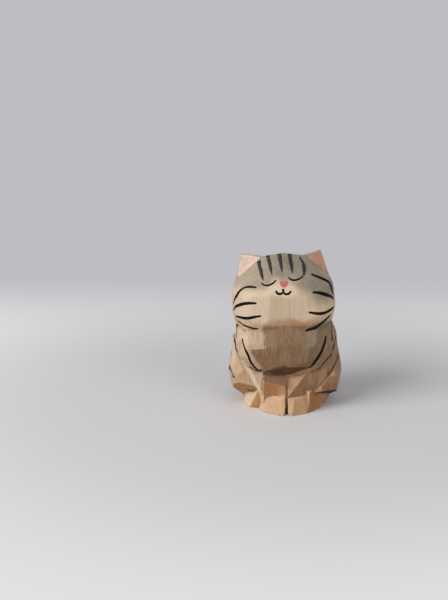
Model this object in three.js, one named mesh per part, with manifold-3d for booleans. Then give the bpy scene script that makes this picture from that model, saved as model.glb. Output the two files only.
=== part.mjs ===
// A sitting wooden cat, whittled from one block of limewood and painted by hand.
// Sizes are millimetres. +X is the cat's left, -Y is the way it faces and +Z is up.
// The origin is the middle of the flat face that it stands on.
// Each brush stroke is a thin film of its own, lying just clear of the wood.

import Module from 'manifold-3d';
import * as THREE from 'three';
import { ConvexGeometry } from 'three/addons/geometries/ConvexGeometry.js';
import { mergeVertices } from 'three/addons/utils/BufferGeometryUtils.js';

const wasm = await Module();
wasm.setup();

// Driving dimensions: the rounded form that each part of the body is whittled to.
// A form reaches this far from its middle. A squareness of 2 is round, and more is boxier.
const head = {
  middle: [-1, -2.5, 46.5],
  side: 22.5,
  front: 17.2,
  back: 16.5,
  up: 21.4,
  down: 15,
  planSquareness: 2.3,
  wallSquareness: 2.5,
};
const chest = {
  middle: [-0.3, -3, 29.5],
  side: 21.4,
  front: 16.6,
  back: 12,
  up: 19,
  down: 16.5,
  planSquareness: 2.3,
  wallSquareness: 2.5,
};
const shoulder = {
  middle: [11, -5.8, 22],
  side: 8.4,
  front: 10.6,
  back: 8,
  up: 13,
  down: 15,
  planSquareness: 2.1,
  wallSquareness: 2.1,
};
const trunk = {
  middle: [-0.2, 2.5, 16],
  side: 23.9,
  front: 15.6,
  back: 17.5,
  up: 34,
  down: 13,
  planSquareness: 2.4,
  wallSquareness: 2.5,
};
const haunch = {
  middle: [13.6, 0.5, 15],
  side: 10.5,
  front: 12.4,
  back: 13,
  up: 16,
  down: 11,
  planSquareness: 2.3,
  wallSquareness: 3.2,
};
const rump = {
  middle: [0, 6, 8],
  side: 18.6,
  front: 9,
  back: 13.5,
  up: 12,
  down: 26,
  planSquareness: 2.2,
  wallSquareness: 2.4,
};

// Driving dimensions: the head's lean to its right, and its ears, from the head's middle
const headLean = 3.8;
const earSpread = 17.4;
const earHeight = 22.2;
const ear = {
  setBack: 5.5,
  innerOut: { right: 8.7, left: 10 },
  innerBack: 5,
  innerHeight: { right: 20.9, left: 20.2 },
  outerOut: 20.4,
  outerHeight: 12.2,
  backOut: 15,
  backBack: 11,
};
const brow = { out: 8, forward: 13, height: 14.5 };

// Driving dimensions: how deep the flats of the face and chest go into their forms
const muzzleDepth = 0.55;
const muzzleSideDepth = 0.45;
const chinDrop = 2.6;
const chinDepth = 0.6;
const chinTilt = -19;
const chestFlatDepth = 0.75;
const undercutFront = 18.6;
const undercutHeight = 22.4;
const undercutEdge = { right: [-9.5, 19.3], left: [11.1, 21.5] };
const undercutFoot = [1, -16.2, 17];

// Driving dimensions: the front legs and paws, measured from the groove between them
const grooveOffset = 0.9;
const grooveWidth = 1.1;
const grooveDepth = 4.2;
const grooveTop = 18.5;
const grooveFlare = 2.6;
const grooveFlareDepth = 8.5;
const grooveFlareHeight = 4;
const legWidth = 11;
const legFront = 16.5;
const legBevel = 1.3;
const legTop = 24;
const calfHeight = 13;
const ankleHeight = 6.6;
const pawWidth = 11;
const pawReach = 19.6;
const pawTipOut = 2.2;

// Driving dimensions: the hind feet and the undercuts over them
const footInner = 9.6;
const footLength = 9;
const haunchCut = {
  right: { height: 10.1, drop: 0, tilt: -48 },
  left: { height: 8.2, drop: 3, tilt: -62 },
};

// Driving dimensions: the flat down each shoulder, and the line between shoulder and haunch, which
// leans outwards as it rises
const shoulderFlat = { out: 11.8, up: 11.5, forwardRight: 13.75, forwardLeft: 12.3 };
const split = {
  right: { out: 11.6, up: 9.6, lean: 33 },
  left: { out: 12.3, up: 8.4, lean: 42 },
};

// Driving dimensions: the tail that lies round the cat's right side
const tailRadius = 3.6;
const tailReach = 18;
const tailBack = 19;
const tailSwing = 4.4;
const tailSunk = 3.2;
const tailRise = 5.5;

// Driving dimensions: the paint films and the clearance under them
const paintFilm = 0.2;
const clearance = 0.25;

// Driving dimension: how much a hand-held knife strays from the form
const knifeStray = 0.16;

const degrees = Math.PI / 180;
const blankSize = 90;
const chipSize = 400;
const sliver = 0.01;

// Solids and meshes

function toSolid(geometry) {
  const bare = geometry.clone();
  bare.deleteAttribute('normal');
  bare.deleteAttribute('uv');
  const merged = mergeVertices(bare, 1e-5);
  return new wasm.Manifold(new wasm.Mesh({
    numProp: 3,
    vertProperties: new Float32Array(merged.attributes.position.array),
    triVerts: new Uint32Array(merged.index.array),
  }));
}

function toGeometry(solid) {
  const mesh = solid.simplify(sliver).getMesh();
  const geometry = new THREE.BufferGeometry();
  geometry.setAttribute('position', new THREE.BufferAttribute(mesh.vertProperties, 3));
  geometry.setIndex(new THREE.BufferAttribute(mesh.triVerts, 1));
  return geometry;
}

// A direction from its bearing, 0 for the front and 90 for the cat's left, and its tilt above level
function towards(bearing, tilt) {
  return new THREE.Vector3(
    Math.sin(bearing * degrees) * Math.cos(tilt * degrees),
    -Math.cos(bearing * degrees) * Math.cos(tilt * degrees),
    Math.sin(tilt * degrees),
  );
}

// Knife cuts

// One flat cut: the wood beyond this plane comes off
function cut(at, bearing, tilt) {
  const point = new THREE.Vector3(...at);
  return new THREE.Plane().setFromNormalAndCoplanarPoint(towards(bearing, tilt), point);
}

// One flat cut through three points, on the side away from the inside point
function cutThrough(a, b, c, inside) {
  const plane = new THREE.Plane().setFromCoplanarPoints(a, b, c);
  return plane.distanceToPoint(inside) > 0 ? plane.negate() : plane;
}

// How far a form reaches in a direction, which is where a flat cut just touches it
function reach(form, direction) {
  const side = form.side * Math.abs(direction.x);
  const along = (direction.y < 0 ? form.front : form.back) * Math.abs(direction.y);
  const high = (direction.z < 0 ? form.down : form.up) * Math.abs(direction.z);
  const plan = form.planSquareness / (form.planSquareness - 1);
  const wall = form.wallSquareness / (form.wallSquareness - 1);
  const level = (side ** plan + along ** plan) ** (1 / plan);
  return (level ** wall + high ** wall) ** (1 / wall);
}

// A repeatable unevenness between -1 and 1
function uneven(seed) {
  const value = Math.sin(seed * 12.9898) * 43758.5453;
  return 2 * (value - Math.floor(value)) - 1;
}

// A flat cut that touches a form, or goes deeper into it by the given depth
function cutOn(form, bearing, tilt, depth) {
  const direction = towards(bearing, tilt);
  const point = new THREE.Vector3(...form.middle)
    .addScaledVector(direction, reach(form, direction) - depth);
  return new THREE.Plane().setFromNormalAndCoplanarPoint(direction, point);
}

// Rows of flat cuts round a form. Each row has a tilt, a count, how far it is turned, as a share of
// one cut, and the bearings at its front that it leaves out. The knife runs with the upright grain,
// so cuts are taller than they are wide.
function cutsRound(form, rows, seed) {
  const cuts = [];
  rows.forEach(([tilt, count, turned, leftOut = 0], row) => {
    for (let i = 0; i < count; i++) {
      const turn = i + turned + 0.14 * uneven(seed + row * 31 + i);
      if (turn / count < leftOut / 360 || 1 - turn / count < leftOut / 360) {
        continue;
      }
      const strayTilt = tilt + (count > 1 ? 2.5 * uneven(seed + row * 17 + i * 5) : 0);
      const stray = knifeStray * (1 + uneven(seed + row * 7 + i * 3));
      cuts.push(cutOn(form, (360 * turn) / count, strayTilt, stray));
    }
  });
  return cuts;
}

// The chip that a flat cut takes off, as a block that lies on the far side of its plane
function chip(plane, grow) {
  const geometry = new THREE.BoxGeometry(chipSize, chipSize, chipSize);
  geometry.translate(0, 0, chipSize / 2 + grow - plane.constant);
  const turn = new THREE.Quaternion().setFromUnitVectors(new THREE.Vector3(0, 0, 1), plane.normal);
  geometry.applyQuaternion(turn);
  return toSolid(geometry);
}

// A convex piece of wood left when every cut is made. Growing it moves each cut outwards.
function whittle(middle, cuts, grow) {
  const blank = new THREE.BoxGeometry(blankSize, blankSize, blankSize);
  blank.translate(...middle);
  let solid = toSolid(blank);
  for (const plane of cuts) {
    solid = solid.subtract(chip(plane, grow));
  }
  return solid;
}

// A closed skin over rings of points, each ring an array of as many points
function loft(rings) {
  const size = rings[0].length;
  const geometry = new THREE.BufferGeometry().setFromPoints(rings.flat());
  const index = [];
  for (let r = 0; r + 1 < rings.length; r++) {
    for (let i = 0; i < size; i++) {
      const a = r * size + i;
      const b = r * size + ((i + 1) % size);
      index.push(a, b, b + size, a, b + size, a + size);
    }
  }
  const last = (rings.length - 1) * size;
  for (let i = 1; i + 1 < size; i++) {
    index.push(0, i + 1, i, last, last + i, last + i + 1);
  }
  geometry.setIndex(index);
  return geometry;
}

// The head, with its face flats, brow bevels and ears

// Head cuts are laid out upright round the head's middle and then lean with the head.
const headMiddle = new THREE.Vector3(...head.middle);
const leanHead = new THREE.Matrix4()
  .makeTranslation(headMiddle)
  .multiply(new THREE.Matrix4().makeRotationY(-headLean * degrees))
  .multiply(new THREE.Matrix4().makeTranslation(headMiddle.clone().negate()));

function onHead(x, y, z) {
  return headMiddle.clone().add(new THREE.Vector3(x, y, z));
}

function earCorners(side) {
  const innerOut = side < 0 ? ear.innerOut.right : ear.innerOut.left;
  const innerHeight = side < 0 ? ear.innerHeight.right : ear.innerHeight.left;
  return {
    tip: onHead(side * earSpread, ear.setBack, earHeight),
    inner: onHead(side * innerOut, ear.innerBack, innerHeight),
    outer: onHead(side * ear.outerOut, 0, ear.outerHeight),
    back: onHead(side * ear.backOut, ear.backBack, ear.outerHeight),
    inside: onHead(side * (innerOut + ear.outerOut) * 0.43, ear.innerBack, ear.outerHeight),
  };
}

function carveEar(side, grow) {
  const { tip, inner, outer, back, inside } = earCorners(side);
  const cuts = [
    cutThrough(tip, inner, outer, inside),
    cutThrough(tip, outer, back, inside),
    cutThrough(tip, back, inner, inside),
    cutThrough(inner, outer, back, tip),
  ];
  return whittle(inside.toArray(), cuts.map((plane) => plane.applyMatrix4(leanHead)), grow);
}

function carveHead(grow) {
  const rows = [
    [-90, 1, 0],
    [-56, 12, 0.5],
    [-31, 18, 0.5, 55],
    [-14, 22, 0],
    [3, 24, 0.5],
    [21, 20, 0],
    [38, 16, 0.5],
    [55, 13, 0],
    [73, 8, 0.5],
    [90, 1, 0],
  ];
  const cuts = cutsRound(head, rows, 1);
  // Three upright flats down the muzzle, and the flat under the chin
  cuts.push(cutOn(head, -13, 0, muzzleSideDepth));
  cuts.push(cutOn(head, -2, -1, muzzleDepth));
  cuts.push(cutOn(head, 9, -1, muzzleSideDepth));
  cuts.push(cut(onHead(0, chinDepth - head.front, -chinDrop).toArray(), 0, chinTilt));
  for (const side of [-1, 1]) {
    const { inner, outer, inside } = earCorners(side);
    const browPoint = onHead(side * brow.out, -brow.forward, brow.height);
    cuts.push(cutThrough(inner, outer, browPoint, inside));
  }
  let solid = whittle(head.middle, cuts.map((plane) => plane.applyMatrix4(leanHead)), grow);
  for (const side of [-1, 1]) {
    solid = solid.add(carveEar(side, grow));
  }
  return solid;
}

// The body, from chest to rump

function carveChest(grow) {
  const rows = [
    [60, 8, 0],
    [32, 13, 0.5],
    [10, 17, 0],
    [-6, 18, 0.3],
    [-20, 18, 0.5],
    [-35, 16, 0],
    [-52, 12, 0.5],
  ];
  const cuts = cutsRound(chest, rows, 2);
  // The broad flats down the chest
  cuts.push(cutOn(chest, -1, 10, chestFlatDepth));
  cuts.push(cutOn(chest, 1, -3, chestFlatDepth));
  // The two undercuts over the legs meet in a shallow valley, so wood comes off only beyond both.
  const peak = new THREE.Vector3(0, -undercutFront, undercutHeight);
  const foot = new THREE.Vector3(...undercutFoot);
  const inside = new THREE.Vector3(...chest.middle);
  const [right, left] = [undercutEdge.right, undercutEdge.left].map(([across, up]) => (
    cutThrough(peak, foot, new THREE.Vector3(across, -undercutFront, up), inside)
  ));
  const undercut = chip(right, grow).intersect(chip(left, grow));
  return whittle(chest.middle, cuts, grow).subtract(undercut);
}

function carveShoulder(side, grow) {
  const form = { ...shoulder, middle: [side * shoulder.middle[0], ...shoulder.middle.slice(1)] };
  const rows = [
    [90, 1, 0],
    [45, 8, 0],
    [14, 13, 0.5],
    [-12, 13, 0],
    [-90, 1, 0],
  ];
  const cuts = cutsRound(form, rows, side > 0 ? 7 : 8);
  // The flat that runs down from the chest to the leg's outer edge
  const forward = side < 0 ? shoulderFlat.forwardRight : shoulderFlat.forwardLeft;
  cuts.push(cut([side * shoulderFlat.out, -forward, shoulderFlat.up], side * 29, -8));
  // The slanting cut beside the haunch
  const { out, up, lean } = side < 0 ? split.right : split.left;
  cuts.push(cut([side * out, -forward, up], side * 80, -lean));
  return whittle(form.middle, cuts, grow);
}

function carveTrunk(grow) {
  const rows = [
    [75, 6, 0],
    [42, 13, 0.5],
    [23, 19, 0],
    [9, 21, 0.5],
    [-4, 21, 0],
    [-24, 16, 0.5],
    [-50, 10, 0],
    [-90, 1, 0],
  ];
  return whittle(trunk.middle, cutsRound(trunk, rows, 3), grow);
}

function carveHaunch(side, grow) {
  const { height, drop, tilt } = side < 0 ? haunchCut.right : haunchCut.left;
  const { out, up, lean } = side < 0 ? split.right : split.left;
  const middle = [side * haunch.middle[0], ...haunch.middle.slice(1)];
  const form = { ...haunch, middle, down: haunch.down + drop };
  const rows = [
    [90, 1, 0],
    [65, 7, 0.5],
    [38, 10, 0],
    [12, 14, 0.5],
    [-9, 14, 0],
    [-48, 10, 0.5],
    [-90, 1, 0],
  ];
  const cuts = cutsRound(form, rows, side > 0 ? 4 : 5);
  // The undercut that frees the hind foot
  const [across, along] = haunch.middle;
  const edge = [side * across, along - haunch.front * 0.94, height];
  cuts.push(cut(edge, side * 28, tilt));
  // The slanting cut that frees the shoulder
  cuts.push(cut([side * out, along - haunch.front * 0.93, up], -side * 73, lean));
  return whittle(form.middle, cuts, grow);
}

function carveRump(grow) {
  const rows = [
    [60, 8, 0],
    [30, 12, 0.5],
    [5, 16, 0],
    [-15, 14, 0.5],
    [-90, 1, 0],
  ];
  return whittle(rump.middle, cutsRound(rump, rows, 6), grow);
}

// Legs and feet

// A point beside the groove between the front legs
function besideGroove(side, x, y, z) {
  return [grooveOffset + side * x, y, z];
}

function carveLeg(side, grow) {
  const cuts = [
    cut([0, 0, legTop], 0, 90),
    cut([0, 0, 0], 0, -90),
    cut(besideGroove(side, -grooveWidth / 2, 0, 0), -side * 90, 0),
    cut([0, 0, 0], 180, 0),
    cut([0, -legFront, calfHeight], side * 5, 4),
    cut(besideGroove(side, legWidth - legBevel, -legFront + 2, ankleHeight), side * 48, -7),
    cut(besideGroove(side, legWidth, -legFront * 0.6, 0), side * 80, -9),
  ];
  // One broad flat runs down the right calf, and the left one is pared away slantwise.
  if (side < 0) {
    cuts.push(cut([0, -legFront, calfHeight], side * 8, -14));
  } else {
    cuts.push(cut(besideGroove(side, 1.4, -legFront + 0.2, ankleHeight + 1.4), side * 25, -11));
  }
  return whittle(besideGroove(side, legWidth / 2, -legFront / 2, calfHeight), cuts, grow);
}

function carvePaw(side, grow) {
  const tip = besideGroove(side, pawTipOut, -pawReach + 0.3, 0);
  const cuts = [
    cut([0, 0, 0], 0, -90),
    cut(besideGroove(side, -grooveWidth / 2, 0, 0), -side * 90, 0),
    cut([0, 0, 0], 180, 0),
    cut(besideGroove(side, 0, -legFront - 0.6, ankleHeight + 1), side * 25, 66),
    cut(tip, side * 30, 13),
    cut(tip, 0, 20),
    cut(besideGroove(side, pawWidth - 0.8, -pawReach + 6, 0), side * 62, 7),
  ];
  return whittle(besideGroove(side, pawWidth / 2, -pawReach / 2, ankleHeight / 2), cuts, grow);
}

// The hind feet differ: the cat's left one lies further back and further out, and widens upwards.
// Toes and pared corners are points on their cuts, out from the middle and forward of it.
const hindFeet = {
  right: {
    side: -1,
    height: 12.2,
    toes: { out: 13.1, forward: 10.4, turn: 37 },
    pared: [
      { out: 15.9, forward: 7.4, up: 0, turn: 61, tilt: 10 },
      { out: 12.4, forward: 10.8, up: 7.4, turn: 15, tilt: -13 },
    ],
    reachOut: 18.7,
    lean: 9,
  },
  left: {
    side: 1,
    height: 9.4,
    toes: { out: 11.4, forward: 13.6, turn: 54 },
    pared: [
      { out: 15.8, forward: 6.6, up: 0, turn: 72, tilt: -18 },
      { out: 12.5, forward: 12.5, up: 9, turn: 68, tilt: 20 },
      { out: 10.9, forward: 14.9, up: 3, turn: -25, tilt: 6 },
    ],
    reachOut: 20.4,
    lean: -24,
  },
};

function carveHindFoot({ side, height, toes, pared, reachOut, lean }, grow) {
  const cuts = [
    cut([0, 0, 0], 0, -90),
    cut([side * footInner, 0, 0], -side * 90, 0),
    cut([0, footLength, 0], 180, 0),
    cut([side * toes.out, -toes.forward, height], side * 40, 68),
    cut([side * toes.out, -toes.forward, 0], side * toes.turn, 1),
    cut([side * reachOut, footLength / 3, 0], side * 86, lean),
    cut([side * (reachOut - 0.8), footLength * 0.4, 0], side * 125, lean),
  ];
  for (const { out, forward, up, turn, tilt } of pared) {
    cuts.push(cut([side * out, -forward, up], side * turn, tilt));
  }
  return whittle([side * (footInner + 2.4), 0, height / 2], cuts, grow);
}

// The tail lies round the rump to the cat's right side, tapering to a cut point.
// It stands proud of the body by half its section, the other half runs on into the wood, and its
// root rises out of the rump.
function carveTail(grow) {
  const steps = 11;
  const [rootBearing, tipBearing] = [150, 278];
  const section = [[-1.9, 1], [0.5, 0.95], [1, 0.3], [0.95, -0.45], [0.35, -1], [-1.9, -1]];
  const rings = [];
  for (let i = 0; i <= steps; i++) {
    const part = i / steps;
    const bearing = rootBearing + (tipBearing - rootBearing) * part;
    const outward = towards(bearing, 0);
    const thick = tailRadius * (1 - 0.3 * part) * (i === steps ? 0.45 : 1) + grow;
    const sunk = tailSunk * Math.max(0, 1 - 4 * part);
    const middle = new THREE.Vector3(
      outward.x * (tailReach + tailSwing * Math.sin(Math.PI * part * 0.75) - sunk),
      outward.y * (tailBack - rump.middle[1] / 2 - sunk) + rump.middle[1] / 2,
      tailRadius + tailRise * part,
    );
    rings.push(section.map(([out, up]) => middle.clone()
      .addScaledVector(outward, thick * out)
      .add(new THREE.Vector3(0, 0, thick * up))));
  }
  return toSolid(loft(rings));
}

// The groove between the front legs, flared at the toes
function carveGroove() {
  const under = -1;
  const front = -pawReach - 2;
  const wedge = new THREE.Shape();
  wedge.moveTo(grooveOffset, 2 + grooveDepth - pawReach);
  wedge.lineTo(grooveOffset - grooveWidth, front);
  wedge.lineTo(grooveOffset + grooveWidth, front);
  wedge.closePath();
  const groove = new THREE.ExtrudeGeometry(wedge, { depth: grooveTop - under, bevelEnabled: false });
  groove.translate(0, 0, under);
  const flare = new ConvexGeometry([
    new THREE.Vector3(grooveOffset - grooveFlare, front, under),
    new THREE.Vector3(grooveOffset + grooveFlare, front, under),
    new THREE.Vector3(grooveOffset, grooveFlareDepth - pawReach, under),
    new THREE.Vector3(grooveOffset, front, grooveFlareHeight),
  ]);
  return toSolid(groove).add(toSolid(flare));
}

function carveCat(grow) {
  let solid = carveHead(grow);
  for (const piece of [carveChest(grow), carveTrunk(grow), carveRump(grow), carveTail(grow)]) {
    solid = solid.add(piece);
  }
  for (const side of [-1, 1]) {
    for (const carve of [carveShoulder, carveHaunch, carveLeg, carvePaw]) {
      solid = solid.add(carve(side, grow));
    }
  }
  for (const foot of Object.values(hindFeet)) {
    solid = solid.add(carveHindFoot(foot, grow));
  }
  solid = solid.subtract(carveGroove());
  return solid.subtract(chip(cut([0, 0, 0], 0, -90), 0));
}

// Paint

// The layer that the paint lies in, from its clearance above the wood to the film's face
const clearOfWood = carveCat(clearance);
const paintLayer = carveCat(clearance + paintFilm).subtract(clearOfWood);
const bodyMiddle = new THREE.Vector3(0, 2, 22);
const innerReach = 9;
const outerReach = 36;
const earTintInset = 0.17;

// Where a brush starts and stops, seen from the middle that it is painted round
function seenFromHead([bearing, tilt]) {
  return towards(bearing, tilt).transformDirection(leanHead);
}

function seenFromBody([bearing, tilt]) {
  return towards(bearing, tilt);
}

// A stroke swells from one end to the other: the shares of its full width at start, middle and end,
// and how slowly it thins out towards its ends
function strokeWidth(part, [start, middle, end, thinning = 0.45]) {
  const swell = Math.sin(Math.PI * part) ** thinning;
  const ends = start + (end - start) * part;
  return ends + (middle - ends) * swell;
}

// The wedge of space that a brush stroke covers, spreading out from the middle of the head or body
function strokeWedge(middle, directions, width, shares) {
  const path = new THREE.CatmullRomCurve3(directions, false, 'centripetal');
  const steps = Math.max(6, Math.ceil(path.getLength() * 16));
  const rings = [];
  for (let i = 0; i <= steps; i++) {
    const part = i / steps;
    const direction = path.getPointAt(part).normalize();
    const along = path.getTangentAt(part);
    const across = new THREE.Vector3().crossVectors(direction, along).normalize();
    const half = (width * strokeWidth(part, shares)) / 2;
    const ring = [[innerReach, -half], [innerReach, half], [outerReach, half], [outerReach, -half]];
    rings.push(ring.map(([out, sideways]) => middle.clone()
      .addScaledVector(direction, out)
      .addScaledVector(across, sideways)));
  }
  return toSolid(loft(rings));
}

// The space over a closed patch of paint
function patchWedge(middle, directions) {
  const outline = new THREE.CatmullRomCurve3(directions, true, 'catmullrom', 0.35).getPoints(20);
  outline.pop();
  const rings = [innerReach, outerReach].map((out) => outline.map((direction) => (
    middle.clone().addScaledVector(direction.clone().normalize(), out)
  )));
  return toSolid(loft(rings));
}

const even = [0.45, 1, 0.45];
const fading = [1, 0.85, 0.12, 1];
const swollen = [0.4, 1, 0.3];

// Each stroke's points are bearing and tilt in degrees, seen from the head's middle.
const headStrokes = {
  forehead_stripe_1: {
    width: 1.95,
    shares: fading,
    points: [[-103, 62.5], [-77, 61.5], [-56, 57.5], [-40, 50], [-29, 42]],
  },
  forehead_stripe_2: {
    width: 1.8,
    shares: fading,
    points: [[-128, 72], [-112, 74], [-78, 75], [-38, 68], [-22, 57], [-17, 51]],
  },
  forehead_stripe_3: {
    width: 2.1,
    shares: fading,
    points: [[-175, 73], [-170, 80], [-11, 83.5], [0, 68], [2, 54]],
  },
  forehead_stripe_4: {
    width: 2.1,
    shares: fading,
    points: [[145, 70], [136, 76], [63, 78], [35, 68.5], [25.5, 59], [20.5, 50.5]],
  },
  forehead_stripe_5: {
    width: 2.1,
    shares: [0.45, 1, 0.2, 0.7],
    points: [[104, 67.5], [94, 66.3], [83, 62.3], [64, 56.5], [48, 49.3], [41.5, 46.6]],
  },
  right_eye_line: {
    width: 0.9,
    shares: even,
    points: [[-33, 39.4], [-27.5, 37.6], [-21.5, 37.8], [-15, 40.4], [-8.5, 45.2]],
  },
  left_eye_line: {
    width: 0.95,
    shares: even,
    points: [[11.5, 47.3], [16.5, 43.8], [23.5, 42.3], [33, 43.3], [41, 46.8]],
  },
  right_cheek_stripe_1: {
    width: 1.45,
    shares: swollen,
    points: [[-38, 33], [-55, 30.5], [-61.5, 25], [-67, 17.5], [-78, 5]],
  },
  right_cheek_stripe_2: {
    width: 1.55,
    shares: swollen,
    points: [[-36, 14.5], [-49, 12.5], [-61, 8.5], [-69, 4.5], [-78, -2]],
  },
  right_cheek_stripe_3: {
    width: 1.45,
    shares: swollen,
    points: [[-31, -2.2], [-40.5, -4], [-50, -6], [-61, -6.2], [-72, -7]],
  },
  right_jaw_line: {
    width: 1.1,
    shares: even,
    points: [[-69, -11], [-57.5, -15.5], [-47, -19], [-37, -20]],
  },
  left_cheek_stripe_1: {
    width: 2.5,
    shares: swollen,
    points: [[63, 45], [68, 38], [72.5, 31], [75.5, 19.5], [78, 10]],
  },
  left_cheek_stripe_2: {
    width: 1.7,
    shares: swollen,
    points: [[42, 23], [50, 20.3], [60.5, 15], [71.5, 10], [80, 4]],
  },
  left_cheek_stripe_3: {
    width: 1.6,
    shares: swollen,
    points: [[34.5, -0.5], [42, -3], [51.5, -5.2], [60, -5], [76, -3]],
  },
  left_jaw_line: {
    width: 1.2,
    shares: even,
    points: [[68, -9.8], [60, -15], [52.5, -18.6], [45, -22], [32, -26]],
  },
};

// These are seen from the body's middle.
const bodyStrokes = {
  right_chest_line: {
    width: 1.2,
    shares: [0.3, 1, 0.35],
    points: [[-52, 25.5], [-48.5, 19], [-44, 12], [-41, 4], [-37, -2.5], [-30, -8.5]],
  },
  left_chest_line: {
    width: 1.6,
    shares: [0.5, 1, 0.4],
    points: [[50, 29.5], [48, 25], [44, 19.5], [40.5, 13], [32, 0.5]],
  },
  right_flank_stripe_1: {
    width: 1,
    shares: even,
    points: [[-98, 33], [-80, 29.5], [-75, 24.5], [-67, 20]],
  },
  right_flank_stripe_2: {
    width: 1,
    shares: even,
    points: [[-106, 22], [-82, 19], [-74, 13.5], [-64, 8]],
  },
  right_flank_stripe_3: {
    width: 1,
    shares: even,
    points: [[-112, 10], [-96, 8], [-87, 4], [-82, -2]],
  },
  left_flank_stripe_1: { width: 1, shares: even, points: [[94, 38], [77, 36], [68, 30.5], [65, 22]] },
  left_flank_stripe_2: {
    width: 0.9,
    shares: even,
    points: [[96, 24], [80, 19], [69, 11], [56, 5.5], [44, -5]],
  },
  left_flank_stripe_3: { width: 1, shares: even, points: [[112, 10], [97, 8], [88, 3], [83, -4]] },
  haunch_stripe: {
    width: 1.1,
    shares: even,
    points: [[-92, -20], [-84, -12], [-76, -12.5], [-66, -16]],
  },
  back_stripe_1: {
    width: 1.3,
    shares: even,
    points: [[150, 27], [170, 24], [-170, 24], [-150, 27]],
  },
  back_stripe_2: { width: 1.4, shares: even, points: [[146, 10], [168, 6], [-168, 6], [-146, 10]] },
  back_stripe_3: {
    width: 1.3,
    shares: even,
    points: [[150, -8], [170, -12], [-170, -12], [-150, -8]],
  },
};

const films = {};
for (const [name, { points, width, shares }] of Object.entries(headStrokes)) {
  films[name] = strokeWedge(headMiddle, points.map(seenFromHead), width, shares);
}
for (const [name, { points, width, shares }] of Object.entries(bodyStrokes)) {
  films[name] = strokeWedge(bodyMiddle, points.map(seenFromBody), width, shares);
}

// The mouth is a short upright line between two arcs, all one line of paint.
const mouthMiddle = [1.8, 30.1];
const mouthWidth = 1.15;
const mouthParts = [
  [[2.1, 34.9], mouthMiddle],
  [[-9.9, 32.3], [-6.2, 28.4], [-1.8, 28.2], mouthMiddle],
  [[13.9, 31], [9.6, 27.6], [5.1, 27.5], mouthMiddle],
];
films.mouth_line = mouthParts
  .map((points) => strokeWedge(headMiddle, points.map(seenFromHead), mouthWidth, [0.6, 1, 0.9]))
  .reduce((all, part) => all.add(part));

// The nose is a rounded triangle that points down.
const nosePoints = [[-0.8, 39.4], [3, 35.8], [8.6, 39], [11, 42.8], [4, 44.2], [-3, 43.4]];
const nose = patchWedge(headMiddle, nosePoints.map(seenFromHead));

// The ear tints cover the front face of each ear, inside its edges.
function earTint(side) {
  const { tip, inner, outer, inside } = earCorners(side);
  const face = cutThrough(tip, inner, outer, inside).normal;
  const middle = tip.clone().add(inner).add(outer).divideScalar(3);
  const corners = [tip, inner, outer].map((corner) => corner.clone().lerp(middle, earTintInset));
  const order = side < 0 ? corners.reverse() : corners;
  const rings = [clearance, clearance + paintFilm].map((out) => order.map((corner) => (
    corner.clone().addScaledVector(face, out).applyMatrix4(leanHead)
  )));
  return toSolid(loft(rings)).subtract(clearOfWood);
}

const block = carveCat(0);

const limewood = new THREE.MeshStandardMaterial({ color: '#d8b98f', roughness: 0.75, metalness: 0 });
const blackPaint = new THREE.MeshStandardMaterial({ color: '#1c1917', roughness: 0.55, metalness: 0 });
const nosePaint = new THREE.MeshStandardMaterial({ color: '#c77f80', roughness: 0.55, metalness: 0 });
const earPaint = new THREE.MeshStandardMaterial({ color: '#e2bfb2', roughness: 0.65, metalness: 0 });

const cat = new THREE.Group();

function addPiece(name, solid, material) {
  const mesh = new THREE.Mesh(toGeometry(solid), material);
  mesh.name = name;
  cat.add(mesh);
}

addPiece('wooden_body', block, limewood);
addPiece('nose', paintLayer.intersect(nose), nosePaint);
addPiece('right_ear_tint', earTint(-1), earPaint);
addPiece('left_ear_tint', earTint(1), earPaint);
for (const [name, wedge] of Object.entries(films)) {
  addPiece(name, paintLayer.intersect(wedge), blackPaint);
}

export default cat;
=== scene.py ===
import math

import bmesh
import bpy
import numpy as np
from mathutils import Matrix, Vector, kdtree, noise
from mathutils.bvhtree import BVHTree


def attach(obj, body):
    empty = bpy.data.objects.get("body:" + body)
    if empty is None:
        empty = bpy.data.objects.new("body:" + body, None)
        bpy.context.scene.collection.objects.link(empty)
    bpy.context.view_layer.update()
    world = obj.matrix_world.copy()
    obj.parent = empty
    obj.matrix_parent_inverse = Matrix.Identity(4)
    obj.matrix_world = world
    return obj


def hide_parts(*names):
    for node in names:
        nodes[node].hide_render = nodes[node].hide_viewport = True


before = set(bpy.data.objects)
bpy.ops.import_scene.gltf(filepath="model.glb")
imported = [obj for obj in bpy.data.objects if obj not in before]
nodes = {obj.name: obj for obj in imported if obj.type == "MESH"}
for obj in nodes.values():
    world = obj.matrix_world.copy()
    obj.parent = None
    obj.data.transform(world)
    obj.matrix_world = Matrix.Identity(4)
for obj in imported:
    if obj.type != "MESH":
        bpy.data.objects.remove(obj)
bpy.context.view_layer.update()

MM = 0.001

# Shared measures of the figurine, in millimetres and degrees
head_middle = Vector((-1.0, -2.5, 46.5))
body_middle = Vector((0.0, 2.0, 22.0))
head_lean = -3.8
groove_offset = 0.9
legs_top = 19.5
head_bottom = 40.0

# How the carved surface is made: the size of its quads, how deep each cut is hollow and how far from
# a ridge that starts, the turns from which an edge between two cuts counts as one, or as deep, and
# how far apart points are taken along it
voxel = 0.26
hollow_depth = 0.06
hollow_reach = 1.3
facet_turn = math.radians(5)
deep_turn = math.radians(42)
edge_spacing = 0.3

# Edges that turn at least this much stay crisp. Away from them the wood is rubbed round, in rounds.
crisp_turns = {"legs": math.radians(17), "trunk": math.radians(29), "head": math.radians(38)}
crisp_reach = 1.1
rounds_everywhere = 3
rounds_on_body = 14
rounds_on_head = 24

# How far the brushed paint stands on the wood and reaches into it
paint_thickness = 0.04
paint_sunk = 0.01
paint_depth = 0.05

# Rays that look for the surface start this far out
ray_start = 60.0


# Helpers

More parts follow.
